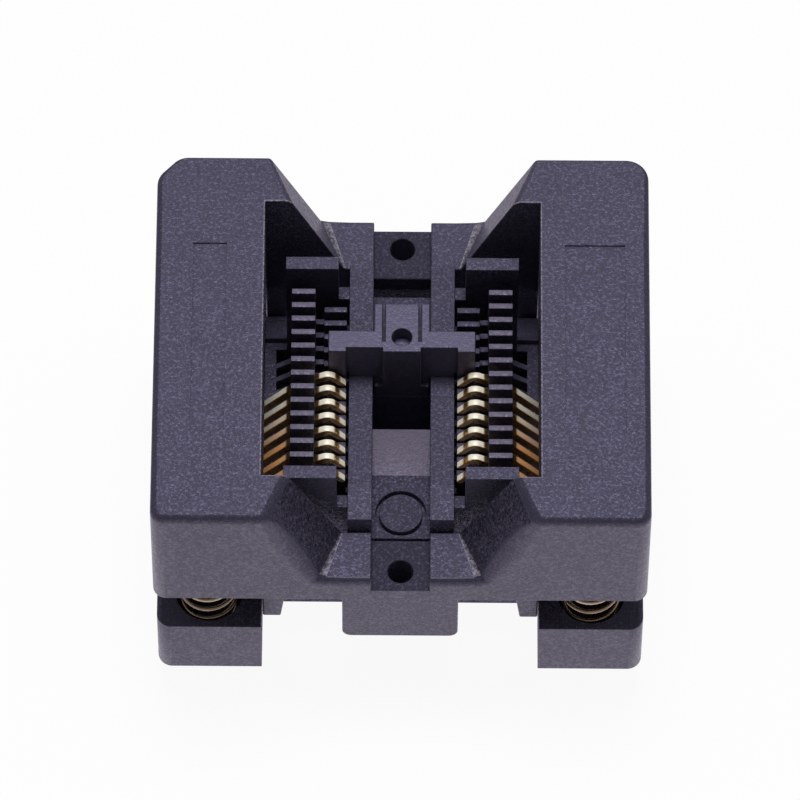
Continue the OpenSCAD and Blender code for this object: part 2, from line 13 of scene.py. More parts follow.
import bmesh
import bpy
from mathutils import Matrix, Vector
from mathutils.geometry import intersect_point_line

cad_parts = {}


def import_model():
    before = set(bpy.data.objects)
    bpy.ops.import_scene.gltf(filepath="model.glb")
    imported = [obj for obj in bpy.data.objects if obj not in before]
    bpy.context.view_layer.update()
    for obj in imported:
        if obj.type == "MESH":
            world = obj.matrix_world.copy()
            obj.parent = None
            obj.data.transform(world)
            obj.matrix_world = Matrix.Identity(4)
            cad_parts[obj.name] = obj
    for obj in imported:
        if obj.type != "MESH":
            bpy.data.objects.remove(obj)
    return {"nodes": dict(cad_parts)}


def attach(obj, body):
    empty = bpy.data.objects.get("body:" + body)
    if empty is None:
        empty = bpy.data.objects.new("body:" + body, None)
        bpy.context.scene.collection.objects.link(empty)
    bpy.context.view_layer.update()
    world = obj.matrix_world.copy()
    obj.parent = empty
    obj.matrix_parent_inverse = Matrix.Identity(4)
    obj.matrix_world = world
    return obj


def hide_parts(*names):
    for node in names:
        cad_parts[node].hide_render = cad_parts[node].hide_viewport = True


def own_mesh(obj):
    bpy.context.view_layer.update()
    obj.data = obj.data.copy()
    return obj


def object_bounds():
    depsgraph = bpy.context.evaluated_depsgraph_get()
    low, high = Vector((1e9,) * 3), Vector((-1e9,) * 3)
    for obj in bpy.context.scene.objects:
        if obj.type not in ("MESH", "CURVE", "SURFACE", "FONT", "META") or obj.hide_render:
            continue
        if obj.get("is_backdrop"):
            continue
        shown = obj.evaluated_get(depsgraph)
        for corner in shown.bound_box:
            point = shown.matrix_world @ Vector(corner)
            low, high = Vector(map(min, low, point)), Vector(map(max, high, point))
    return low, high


LOG = logging.getLogger("test_socket")
MM = 0.001
LEADS_PER_SIDE = 8
# Half of the cover's size along X and Y
HALF = (10.21 * MM, 8.65 * MM)

# Face attributes that the finishes read
# A paler colour on the trough's ramp and, in part, on the comb's tops
PALE_PATCH = "pale_patch"
GLINT = "glint"
# The contacts' stamped rims, which take a satin skin and a painted highlight
SATIN_HIGHLIGHT = "satin_highlight"
# Painted shade where above 0: a darker colour and a rougher skin; below 0 only a smoother skin
SHADE_AND_MATTE = "shade_and_matte"
SKIN = "skin"

# Turns between two faces, in degrees: joined below the first, rounded above the second, shaded sharp above the third
FLAT_TURN = 0.2
EDGE_TURN = 30.0
SHARP_TURN = 32.0
# Steps across a small round
EDGE_STEPS = 3
# Least rise of a level face's normal
LEVEL = 0.95
# A share that counts as all the way
NEARLY = 0.99
# Distance under which two points are one, and under which two heights are the same
WELD = 1e-7
HAIR = 0.01 * MM

Colour = tuple[float, float, float]
Share = tuple[float, float, float]
Span = tuple[float, float]
EdgeTest = Callable[[bmesh.types.BMEdge], bool]
Plane = tuple[Vector, Vector]
Spine = list[tuple[Vector, Vector]]


class Body(Enum):
    """The bodies that move as one."""

    BASE = "base"
    COVER = "cover"
    LEFT_ARMS = "left_contact_arms"
    RIGHT_ARMS = "right_contact_arms"


class Slot(Enum):
    """The record's material slots."""

    MOULDED = "moulded_plastic"
    INSERT = "insert_plastic"
    GOLD = "gold_plate"
    WIRE = "spring_wire"


class Side(Enum):
    """The two rows of contacts."""

    LEFT = "left"
    RIGHT = "right"

    @property
    def sign(self) -> int:
        """The side's direction along X."""
        return -1 if self is Side.LEFT else 1

    @property
    def arms(self) -> Body:
        """The body that carries this side's contact arms."""
        return Body.LEFT_ARMS if self is Side.LEFT else Body.RIGHT_ARMS


class End(Enum):
    """The two ends of the socket."""

    FRONT = "front"
    REAR = "rear"

    @property
    def sign(self) -> int:
        """The end's direction along Y."""
        return -1 if self is End.FRONT else 1


class Graph:
    """A short way to add and link shader nodes in one tree."""

    def __init__(self, tree: bpy.types.NodeTree) -> None:
        """Keeps the tree.

        Args:
            tree: The node tree that is filled.
        """
        self.tree = tree

    def add(self, kind: str, links: dict | None = None, **values: object) -> bpy.types.Node:
        """Adds a node, sets its properties and links or sets its inputs.

        Args:
            kind: The node's type name.
            links: Input names or numbers, each with an output socket to link or a plain value.
            values: Properties of the node itself.

        Returns:
            The new node.
        """
        node = self.tree.nodes.new(kind)
        for name, value in values.items():
            setattr(node, name, value)
        for name, value in (links or {}).items():
            socket = node.inputs[name]
            if isinstance(value, bpy.types.NodeSocket):
                self.tree.links.new(value, socket)
            else:
                socket.default_value = value
        return node

    def math(self, operation: str, a: object, b: object = 0.0) -> bpy.types.NodeSocket:
        """Adds a Math node and returns its output.

        Args:
            operation: The operation's name.
            a: First operand, a socket or a number.
            b: Second operand, a socket or a number.

        Returns:
            The result's socket.
        """
        return self.add("ShaderNodeMath", {0: a, 1: b}, operation=operation).outputs[0]

    def mix(self, share: object, a: object, b: object) -> bpy.types.NodeSocket:
        """Mixes two colours.

        Args:
            share: Share of the second colour, a socket or a number.
            a: First colour.
            b: Second colour.

        Returns:
            The mixed colour's socket.
        """
        return self.add("ShaderNodeMix", {0: share, 6: a, 7: b}, data_type="RGBA").outputs[2]

    def tone(self, colour: object, factor: object) -> bpy.types.NodeSocket:
        """Multiplies a colour by a number.

        Args:
            colour: The colour, a socket or three numbers.
            factor: The number's socket.

        Returns:
            The toned colour's socket.
        """
        return self.add("ShaderNodeVectorMath", {0: colour, 1: factor}, operation="MULTIPLY").outputs[0]

    def face_value(self, name: str) -> bpy.types.NodeSocket:
        """Reads a face attribute.

        Args:
            name: The attribute's name.

        Returns:
            The value's socket, 0 where a mesh lacks the attribute.
        """
        return self.add("ShaderNodeAttribute", attribute_name=name).outputs["Fac"]

    def spread(self, value: object, low: float, high: float, to_low: float, to_high: float) -> bpy.types.NodeSocket:
        """Maps one range on another, without passing its ends.

        Args:
            value: The value's socket.
            low: Value that gives to_low.
            high: Value that gives to_high.
            to_low: Result at low.
            to_high: Result at high.

        Returns:
            The result's socket.
        """
        return self.add("ShaderNodeMapRange", {0: value, 1: low, 2: high, 3: to_low, 4: to_high}).outputs[0]

    def band(self, value: object, low: float, high: float, fade: float) -> bpy.types.NodeSocket:
        """Picks out a band of values with soft ends.

        Args:
            value: The value's socket.
            low: Where the band starts.
            high: Where it ends.
            fade: Width of its soft ends.

        Returns:
            The band's socket, 1 inside and 0 outside.
        """
        rise = self.spread(value, low, low + fade, 0.0, 1.0)
        return self.math("MULTIPLY", rise, self.spread(value, high - fade, high, 1.0, 0.0))


def rgba(colour: Colour) -> tuple[float, float, float, float]:
    """Gives a colour its full alpha.

    Args:
        colour: The colour.

    Returns:
        The colour with an alpha of 1.
    """
    return (*colour, 1.0)


def clamp(value: float) -> float:
    """Keeps a value between 0 and 1.

    Args:
        value: The value.

    Returns:
        The nearest value from 0 to 1.
    """
    return min(max(value, 0.0), 1.0)


def new_group(name: str, inputs: dict[str, tuple[str, object]], outputs: dict[str, str]) -> tuple:
    """Starts a shader node group with named sockets.

    Args:
        name: The group's name.
        inputs: Input names, each with a socket type and a default value.
        outputs: Output names, each with a socket type.

    Returns:
        The group's tree, its graph, its input sockets by name and its output node.
    """
    tree = bpy.data.node_groups.new(name, "ShaderNodeTree")
    for label, (kind, default) in inputs.items():
        socket = tree.interface.new_socket(label, in_out="INPUT", socket_type=kind)
        if default is not None:
            socket.default_value = default
    for label, kind in outputs.items():
        tree.interface.new_socket(label, in_out="OUTPUT", socket_type=kind)
    graph = Graph(tree)
    entry = graph.add("NodeGroupInput")
    leave = graph.add("NodeGroupOutput")
    return tree, graph, entry.outputs, leave


def mould_grain_group() -> bpy.types.NodeTree:
    """Builds the grain of filled plastic: fine pale flecks, a soft mottle and a matte skin.

    Returns:
        The node group.
    """
    tree, graph, entry, leave = new_group(
        "mould_grain",
        {"Vector": ("NodeSocketVector", None), "Grain": ("NodeSocketFloat", 6500.0),
         "Mottle": ("NodeSocketFloat", 1800.0)},
        {"Fleck": "NodeSocketFloat", "Cloud": "NodeSocketFloat", "Height": "NodeSocketFloat"})
    fine_scale, fine_height = 2.3, 0.5
    patch_span, spark_span = (0.55, 0.75), (0.6, 0.78)
    grain = graph.add("ShaderNodeTexNoise", {
        "Vector": entry["Vector"], "Scale": entry["Grain"], "Detail": 2.0, "Roughness": 0.6})
    fine = graph.add("ShaderNodeTexNoise", {
        "Vector": entry["Vector"], "Scale": graph.math("MULTIPLY", entry["Grain"], fine_scale), "Detail": 1.0})
    cloud = graph.add("ShaderNodeTexNoise", {
        "Vector": entry["Vector"], "Scale": entry["Mottle"], "Detail": 4.0, "Roughness": 0.6})
    patches = graph.spread(grain.outputs["Fac"], *patch_span, 0.0, 1.0)
    sparks = graph.spread(fine.outputs["Fac"], *spark_span, 0.0, 1.0)
    fleck = graph.math("MAXIMUM", patches, sparks)
    height = graph.math("ADD", grain.outputs["Fac"], graph.math("MULTIPLY", fine.outputs["Fac"], fine_height))
    for name, socket in (("Fleck", fleck), ("Cloud", cloud.outputs["Fac"]), ("Height", height)):
        tree.links.new(socket, leave.inputs[name])
    return tree


def plated_skin_group() -> bpy.types.NodeTree:
    """Builds the skin of plated strip and wire: drawn lines and a soft tarnish.

    Returns:
        The node group.
    """
    tree, graph, entry, leave = new_group(
        "plated_skin",
        {"Vector": ("NodeSocketVector", None), "Lines": ("NodeSocketFloat", 9000.0),
         "Tarnish": ("NodeSocketFloat", 900.0)},
        {"Line": "NodeSocketFloat", "Tone": "NodeSocketFloat"})
    stretched = graph.add("ShaderNodeMapping", {"Vector": entry["Vector"], "Scale": (0.25, 1.0, 0.25)})
    lines = graph.add("ShaderNodeTexNoise", {
        "Vector": stretched.outputs[0], "Scale": entry["Lines"], "Detail": 2.0})
    tone = graph.add("ShaderNodeTexNoise", {"Vector": entry["Vector"], "Scale": entry["Tarnish"], "Detail": 3.0})
    tree.links.new(lines.outputs["Fac"], leave.inputs["Line"])
    tree.links.new(tone.outputs["Fac"], leave.inputs["Tone"])
    return tree


@dataclass(frozen=True)
class MouldedPlastic:
    """A black filled plastic with a matte, speckled skin."""

    name: str
    colour: Colour
    fleck: Colour
    fleck_share: float
    roughness: Span
    grain: float
    bump: float
    gloss: float = 1.0
    ior: float = 1.6
    gloss_tint: Colour = (0.68, 0.62, 1.0)
    skin: float = 0.55
    skin_roughness: float = 0.22
    # Painted shade on marked faces: more roughness and a darker colour
    shade_roughness: float = 0.2
    shade_tone: float = 0.6
    # Colour of the paler patches
    pale_patch_colour: Colour = (0.128, 0.111, 0.141)
    glint: Colour = (0.32, 0.3, 0.35)
    glint_span: Span = (0.65, 0.9)
    glint_share: Span = (0.2, 0.85)
    cloud_span: Span = (0.3, 0.7)
    cloud_tone: Span = (0.82, 1.18)
    cloud_pull: float = 0.2
    matte_span: Span = (0.67, 1.03)
    bump_depth: float = 0.03 * MM

    def material(self, groups: dict[str, bpy.types.NodeTree]) -> bpy.types.Material:
        """Builds the finish as a material.

        Args:
            groups: The shared node groups by name.

        Returns:
            The material.
        """
        made = bpy.data.materials.new(self.name)
        made.use_nodes = True
        graph = Graph(made.node_tree)
        shader = made.node_tree.nodes["Principled BSDF"]
        place = graph.add("ShaderNodeTexCoord").outputs["Object"]
        grain = graph.add("ShaderNodeGroup", {"Vector": place, "Grain": self.grain},
                          node_tree=groups["mould_grain"]).outputs
        colour = graph.tone(self.colour, graph.spread(grain["Cloud"], *self.cloud_span, *self.cloud_tone))
        colour = graph.mix(graph.math("MULTIPLY", grain["Fleck"], self.fleck_share), colour, rgba(self.fleck))
        # Paler patches on the ramp and the comb's tops
        colour = graph.mix(graph.face_value(PALE_PATCH), colour, rgba(self.pale_patch_colour))
        sparks = graph.spread(grain["Height"], *self.glint_span, *self.glint_share)
        colour = graph.mix(graph.math("MULTIPLY", graph.face_value(GLINT), sparks), colour, rgba(self.glint))
        # Painted shade: marked faces are darkened and roughened
        shade_and_matte = graph.face_value(SHADE_AND_MATTE)
        colour = graph.tone(colour, graph.spread(shade_and_matte, 0.0, 1.0, 1.0, self.shade_tone))
        uneven = graph.math("ADD", grain["Height"], graph.math("MULTIPLY", grain["Cloud"], self.cloud_pull))
        matte = graph.spread(uneven, *self.matte_span, *self.roughness)
        matte = graph.math("ADD", matte, graph.math("MULTIPLY", shade_and_matte, self.shade_roughness))
        skin = graph.math("MULTIPLY", graph.face_value(SKIN), self.skin)
        bump = graph.add("ShaderNodeBump", {
            "Height": grain["Height"], "Strength": self.bump, "Distance": self.bump_depth})
        for name, value in (("IOR", self.ior), ("Coat Roughness", self.skin_roughness),
                            ("Specular IOR Level", self.gloss), ("Specular Tint", rgba(self.gloss_tint))):
            shader.inputs[name].default_value = value
        for name, socket in (("Base Color", colour), ("Roughness", matte), ("Coat Weight", skin),
                             ("Normal", bump.outputs[0])):
            made.node_tree.links.new(socket, shader.inputs[name])
        return made


@dataclass(frozen=True)
class PlatedMetal:
    """A plated or drawn metal with fine lines and a soft tarnish. On the contacts' stamped rims at the tips, crests
    and legs it turns rougher, less metallic and pale, a painted highlight, and the legs turn orange towards the front,
    painted shade.
    """

    name: str
    bright: Colour
    deep: Colour
    roughness: Span
    bump: float
    tarnish_span: Span = (0.35, 0.65)
    line_span: Span = (0.3, 0.7)
    # The painted highlight on the stamped rims: its roughness, its drop in metal, the height where it starts and its
    # pale colour
    satin_highlight: float = 0.45
    satin_share: float = 0.85
    highlight_foot: float = 5.6 * MM
    highlight_colour: Colour = (1.0, 0.92, 0.76)
    # Painted shade: the legs' pale highlight turns orange towards the front
    front_shade_colour: Colour = (1.0, 0.5, 0.2)
    front_shade_span: Span = (-2.2 * MM, -0.5 * MM)
    fade: float = 0.08 * MM
    tip: Span = (2.25 * MM, 2.6 * MM)
    crest: Span = (2.72 * MM, 3.46 * MM)
    leg: Span = (4.75 * MM, 6.0 * MM)
    bump_depth: float = 0.004 * MM

    def material(self, groups: dict[str, bpy.types.NodeTree]) -> bpy.types.Material:
        """Builds the finish as a material.

        Args:
            groups: The shared node groups by name.

        Returns:
            The material.
        """
        made = bpy.data.materials.new(self.name)
        made.use_nodes = True
        graph = Graph(made.node_tree)
        shader = made.node_tree.nodes["Principled BSDF"]
        place = graph.add("ShaderNodeTexCoord").outputs["Object"]
        skin = graph.add("ShaderNodeGroup", {"Vector": place}, node_tree=groups["plated_skin"]).outputs
        tone = graph.spread(skin["Tone"], *self.tarnish_span, 0.0, 1.0)
        colour = graph.mix(tone, rgba(self.deep), rgba(self.bright))
        polished = graph.spread(skin["Line"], *self.line_span, *self.roughness)
        axes = graph.add("ShaderNodeSeparateXYZ", {0: place}).outputs
        across = graph.math("ABSOLUTE", axes["X"])
        # Painted highlight: pale bands on the legs, tips and crests of the stamped rims, above the foot
        leg = graph.band(across, *self.leg, self.fade)
        highlight_bands = graph.math("ADD", graph.band(across, *self.tip, self.fade), graph.band(across, *self.crest, self.fade))
        above = graph.spread(axes["Z"], self.highlight_foot, self.highlight_foot + self.fade, 0.0, 1.0)
        rim = graph.math("MULTIPLY", graph.face_value(SATIN_HIGHLIGHT), above)
        satin_highlight = graph.math("MULTIPLY", graph.math("ADD", highlight_bands, leg), rim)
        # Painted shade: the legs turn orange towards the front
        back = graph.spread(axes["Y"], *self.front_shade_span, 0.0, 1.0)
        front_shade = graph.math("MULTIPLY", leg, graph.math("SUBTRACT", 1.0, back))
        colour = graph.mix(satin_highlight, colour, graph.mix(front_shade, rgba(self.highlight_colour), rgba(self.front_shade_colour)))
        matte = graph.math("ADD", polished, graph.math("MULTIPLY", satin_highlight, self.satin_highlight - self.roughness[1]))
        metal = graph.math("SUBTRACT", 1.0, graph.math("MULTIPLY", satin_highlight, self.satin_share))
        bump = graph.add("ShaderNodeBump", {
            "Height": skin["Line"], "Strength": self.bump, "Distance": self.bump_depth})
        for name, socket in (("Base Color", colour), ("Roughness", matte), ("Metallic", metal),
                             ("Normal", bump.outputs[0])):
            made.node_tree.links.new(socket, shader.inputs[name])
        return made


@dataclass
class Workshop:
    """What every sub-assembly needs: the CAD nodes and the finishes."""

    nodes: dict[str, bpy.types.Object]
    finishes: dict[Slot, bpy.types.Material]

    def copy_of(self, node: str, cuts: tuple[Plane, ...] = ()) -> bmesh.types.BMesh:
        """Copies a CAD node's mesh, with its loose triangles joined into flat faces.

        Args:
            node: The CAD node's name.
            cuts: Planes, each a point and a normal, where flat faces stay cut.

        Returns:
            The joined mesh.
        """
        mesh = bmesh.new()
        mesh.from_mesh(self.nodes[node].data)
        bmesh.ops.remove_doubles(mesh, verts=mesh.verts, dist=WELD)
        for point, normal in cuts:
            cut = bmesh.ops.bisect_plane(mesh, geom=mesh.verts[:] + mesh.edges[:] + mesh.faces[:], dist=WELD,
                                         plane_co=point, plane_no=normal)
            for part in cut["geom_cut"]:
                if isinstance(part, bmesh.types.BMEdge):
                    part.seam = True
        bmesh.ops.dissolve_limit(mesh, angle_limit=math.radians(FLAT_TURN), verts=mesh.verts, edges=mesh.edges,
                                 use_dissolve_boundaries=False, delimit={"SEAM"})
        for edge in mesh.edges:
            edge.seam = False
        return mesh

    def finish(self, mesh: bmesh.types.BMesh, name: str, body: Body, slot: Slot, *stands_for: str) -> bpy.types.Object:
        """Makes a piece of a mesh, gives it its finish and sets it on its body.

        Args:
            mesh: The finished shape, in the shared frame.
            name: The piece's name.
            body: The body that it rides on.
            slot: The material slot that it takes.
            stands_for: The CAD nodes that it replaces.

        Returns:
            The piece.
        """
        data = bpy.data.meshes.new(name)
        mesh.to_mesh(data)
        mesh.free()
        data.shade_smooth()
        data.set_sharp_from_angle(angle=math.radians(SHARP_TURN))
        data.materials.append(self.finishes[slot])
        piece = bpy.data.objects.new(name, data)
        bpy.context.scene.collection.objects.link(piece)
        even = piece.modifiers.new("even_shading", "WEIGHTED_NORMAL")
        even.keep_sharp = True
        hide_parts(*stands_for)
        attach(piece, body.value)
        LOG.info("%s: %d faces", name, len(data.polygons))
        return piece


def middle_of(edge: bmesh.types.BMEdge) -> Vector:
    """Finds the middle of an edge.

    Args:
        edge: The edge.

    Returns:
        Its middle.
    """
    return (edge.verts[0].co + edge.verts[1].co) / 2


def outness(point: Vector) -> Span:
    """Tells how far out a point lies.

    Args:
        point: The point.

    Returns:
        Its distance from the middle along X and Y, as shares of the cover's half size.
    """
    return abs(point.x) / HALF[0], abs(point.y) / HALF[1]


def is_outer(edge: bmesh.types.BMEdge) -> bool:
    """Tells whether an edge stands out sharply enough to be rounded.

    Args:
        edge: The edge.

    Returns:
        True for a sharp outer edge.
    """
    return edge.is_manifold and edge.is_convex and edge.calc_face_angle(0.0) > math.radians(EDGE_TURN)


def mark_skin(mesh: bmesh.types.BMesh, least_out: float = 0.85, most_tilt: float = 0.5) -> None:
    """Marks the outer upright faces, where the moulded skin is smoother, fading out up the rounded rims.

    Args:
        mesh: The mesh.
        least_out: The share of the cover's half size where the outer faces begin.
        most_tilt: The rise of a face's normal where the mark has faded out.
    """
    skin = mesh.faces.layers.float.new(SKIN)
    for face in mesh.faces:
        outermost = max(outness(face.calc_center_median())) > least_out
        face[skin] = outermost * clamp(1.0 - face.normal.z / most_tilt)


def round_edges(mesh: bmesh.types.BMesh, wanted: EdgeTest, width: float, segments: int) -> list[bmesh.types.BMFace]:
    """Rounds the edges that pass a test.

    Args:
        mesh: The mesh.
        wanted: The test for an edge.
        width: Width of the round.
        segments: Steps across the round.

    Returns:
        The new faces.
    """
    edges = [edge for edge in mesh.edges if wanted(edge)]
    if not edges:
        return []
    return bmesh.ops.bevel(mesh, geom=edges, offset=width, offset_type="OFFSET", segments=segments, profile=0.5,
                           affect="EDGES", clamp_overlap=False, material=-1, loop_slide=True)["faces"]


def nearest_on(spine: Spine, point: Vector) -> Vector:
    """Finds the nearest point on a set of straight lines.

    Args:
        spine: The lines' two ends each.
        point: The point to start from.

    Returns:
        The nearest point.
    """
    feet = [first.lerp(last, clamp(intersect_point_line(point, first, last)[1])) for first, last in spine]
    return min(feet, key=lambda foot: (foot - point).length_squared)


def sharp_corners(spine: Spine, straight: float = -0.7, digits: int = 7) -> list[Vector]:
    """Finds the points where a set of straight lines turns sharply.

    Args:
        spine: The lines' two ends each.
        straight: The product of two lines' directions up to which one goes straight on from the other.
        digits: The decimals at which two ends are one point.

    Returns:
        The corners.
    """
    ways: dict[tuple[float, ...], list[Vector]] = {}
    for first, last in spine:
        for here, there in ((first, last), (last, first)):
            ways.setdefault(tuple(round(part, digits) for part in here), []).append((there - here).normalized())
    return [Vector(place) for place, leads in ways.items()
            if any(one.dot(other) > straight for one, other in combinations(leads, 2))]


def ease_round(faces: list[bmesh.types.BMFace], spine: Spine, share: Callable[[Vector], Vector], reach: float) -> None:
    """Widens or narrows a round about the sharp edges that it came from.

    Args:
        faces: The round's faces.
        spine: The sharp edges' two ends each.
        share: The share of the round's width along X, Y and Z at a point of the sharp edges.
        reach: How far a corner's own patch reaches, which keeps its form and only changes its size.
    """
    corners = sharp_corners(spine)
    for vert in {vert for face in faces for vert in face.verts}:
        foot = nearest_on(spine, vert.co)
        foot = next((corner for corner in corners if (corner - foot).length < reach), foot)
        vert.co = foot + Matrix.Diagonal(share(foot)) @ (vert.co - foot)


@dataclass
class Cover:
    """The sprung cover: a frame with two notched end bars."""

    top: float = 12.58 * MM
    notch: float = 7.46 * MM
    channel_top: float = 7.0 * MM
    underside: float = 5.89 * MM
    corner: float = 0.3 * MM
    corner_steps: int = 4
    corner_out: float = 0.85
    edge: float = 0.06 * MM
    rim: float = 0.25 * MM
    rim_steps: int = 6
    rim_out: float = 0.93
    rim_tilt: float = 0.3
    wall_tilt: float = 0.05
    slope_tilt: Span = (0.2, 0.7)
    slope_lean: float = 0.5
    slope_cuts: int = 3
    corner_reach: float = 0.3 * MM
    front_share: Share = (1.2, 0.9, 1.75)
    slope_swell: Share = (1.2, 1.5, 0.65)
    side_share: Share = (0.95, 0.95, 1.1)
    rear_share: Share = (0.48, 0.48, 0.48)
    front_blend: Span = (-8.5 * MM, -7.6 * MM)
    rear_blend: Span = (7.2 * MM, 8.3 * MM)
    labels: tuple[Span, ...] = ((-8.66 * MM, -7.26 * MM), (6.71 * MM, 9.21 * MM))
    label_end: float = 4.5 * MM
    label_depth: float = 0.2 * MM
    play: float = 0.02 * MM
    under_out: float = 0.97
    under_sum: float = 1.85
    slope_polish: float = 1.0
    shade_out: float = 0.9
    shade_from: float = 0.15
    shade_span: float = 0.4
    crease_tilt: Span = (0.95, 0.985)
    crease_top: float = 9.0 * MM
    glint_tilt: float = 0.4

    def cuts(self) -> tuple[Plane, ...]:
        """Gives the planes along the label recesses, so that flat faces meet the rim at right angles.

        Returns:
            A point and a normal for each plane.
        """
        across = [(Vector((x, 0, 0)), Vector((1, 0, 0))) for label in self.labels for x in label]
        along = [(Vector((0, y, 0)), Vector((0, 1, 0))) for y in (-self.label_end, self.label_end)]
        return (*across, *along)

    def is_corner(self, edge: bmesh.types.BMEdge) -> bool:
        """Tells whether an upright edge stands at an outer corner of the frame.

        Args:
            edge: The edge.

        Returns:
            True for a corner edge, and for both ends of the chamfer that marks the first lead.
        """
        upright = abs((edge.verts[0].co - edge.verts[1].co).normalized().z) > NEARLY
        out = outness(middle_of(edge))
        return upright and max(out) > NEARLY and min(out) > self.corner_out and is_outer(edge)

    def is_rim(self, edge: bmesh.types.BMEdge) -> bool:
        """Tells whether an edge lies on the rim of the top or of a notch.

        Args:
            edge: The edge.

        Returns:
            True for an outer top edge and for the top of a notch's slope.
        """
        if not is_outer(edge):
            return False
        side, top = sorted(face.normal.z for face in edge.link_faces)
        middle = middle_of(edge)
        if top > NEARLY and self.slope_tilt[0] < side < self.slope_tilt[1] and middle.z > self.top - HAIR:
            return True
        outermost = max(outness(middle)) > self.rim_out
        return top > self.rim_tilt and abs(side) < self.wall_tilt and outermost and middle.z > self.channel_top

    def is_front_slope(self, edge: bmesh.types.BMEdge) -> bool:
        """Tells whether a rim edge runs up a slope of the front notch.

        Args:
            edge: The edge.

        Returns:
            True for the front edge of such a slope.
        """
        first, last = (vert.co for vert in edge.verts)
        return max(first.y, last.y) < self.front_blend[0] and abs(first.z - last.z) > MM and self.is_rim(edge)

    def rim_share(self, foot: Vector) -> Vector:
        """Gives the share of the rim's rounding: widest up the front notch, less at the sides and the rear.

        Args:
            foot: A point of the sharp rim.

        Returns:
            The share along X, Y and Z.
        """
        side = Vector(self.side_share)
        first, last = self.front_blend
        if foot.y < last:
            climb = clamp((foot.z - self.notch) / (self.top - self.notch))
            full = Vector(self.front_share) + Vector(self.slope_swell) * math.sin(math.pi * climb)
            return full.lerp(side, clamp((foot.y - first) / (last - first)))
        first, last = self.rear_blend
        return side.lerp(Vector(self.rear_share), clamp((foot.y - first) / (last - first)))

    def is_edge(self, edge: bmesh.types.BMEdge) -> bool:
        """Tells whether an edge gets the small round, which the label recesses and the narrow underside lack.

        Args:
            edge: The edge.

        Returns:
            True for an outer edge away from the recesses.
        """
        middle = middle_of(edge)
        out = outness(middle)
        recessed = middle.z > self.top - self.label_depth and abs(middle.y) < self.label_end + self.play and any(
            low - self.play < middle.x < high + self.play for low, high in self.labels)
        under = abs(middle.z - self.underside) < self.play and max(out) < self.under_out and sum(out) < self.under_sum
        return is_outer(edge) and not recessed and not under

    def build(self, shop: Workshop) -> None:
        """Builds and dresses the cover.

        Args:
            shop: The nodes and finishes.
        """
        mesh = shop.copy_of("cover", self.cuts())
        round_edges(mesh, self.is_corner, self.corner, self.corner_steps)
        bmesh.ops.bisect_edges(mesh, edges=[edge for edge in mesh.edges if self.is_front_slope(edge)],
                               cuts=self.slope_cuts)
        spine = [(edge.verts[0].co.copy(), edge.verts[1].co.copy()) for edge in mesh.edges if self.is_rim(edge)]
        glint = mesh.faces.layers.float.new(GLINT)
        shade_and_matte = mesh.faces.layers.float.new(SHADE_AND_MATTE)
        # Painted shade, with a rougher skin, on the channel floors; the front notch's slopes get only a smoother skin
        for face in mesh.faces:
            middle = face.calc_center_median()
            channel = face.normal.z > LEVEL and middle.z < self.channel_top
            slope = self.slope_tilt[0] < face.normal.z < self.slope_tilt[1] and abs(face.normal.x) > self.slope_lean
            face[shade_and_matte] = float(channel) - self.slope_polish * (slope and middle.y < 0)
        rim = round_edges(mesh, self.is_rim, self.rim, self.rim_steps)
        ease_round(rim, spine, self.rim_share, self.corner_reach)
        mesh.normal_update()
        # Painted shade on the front and side rims, darkest where they face up
        for face in rim:
            middle = face.calc_center_median()
            shaded = middle.y < 0 or outness(middle)[0] > self.shade_out
            face[shade_and_matte] = shaded * clamp((face.normal.z - self.shade_from) / self.shade_span)
        for face in mesh.faces:
            crease = self.crease_tilt[0] < face.normal.z < self.crease_tilt[1]
            face[glint] = float(crease and face.calc_center_median().z < self.crease_top)
        for face in round_edges(mesh, self.is_edge, self.edge, EDGE_STEPS):
            face[glint] = float(face.normal.z > self.glint_tilt and face.calc_center_median().z > self.top - self.rim)
        mark_skin(mesh)
        shop.finish(mesh, "cover_frame", Body.COVER, Slot.MOULDED, "cover")


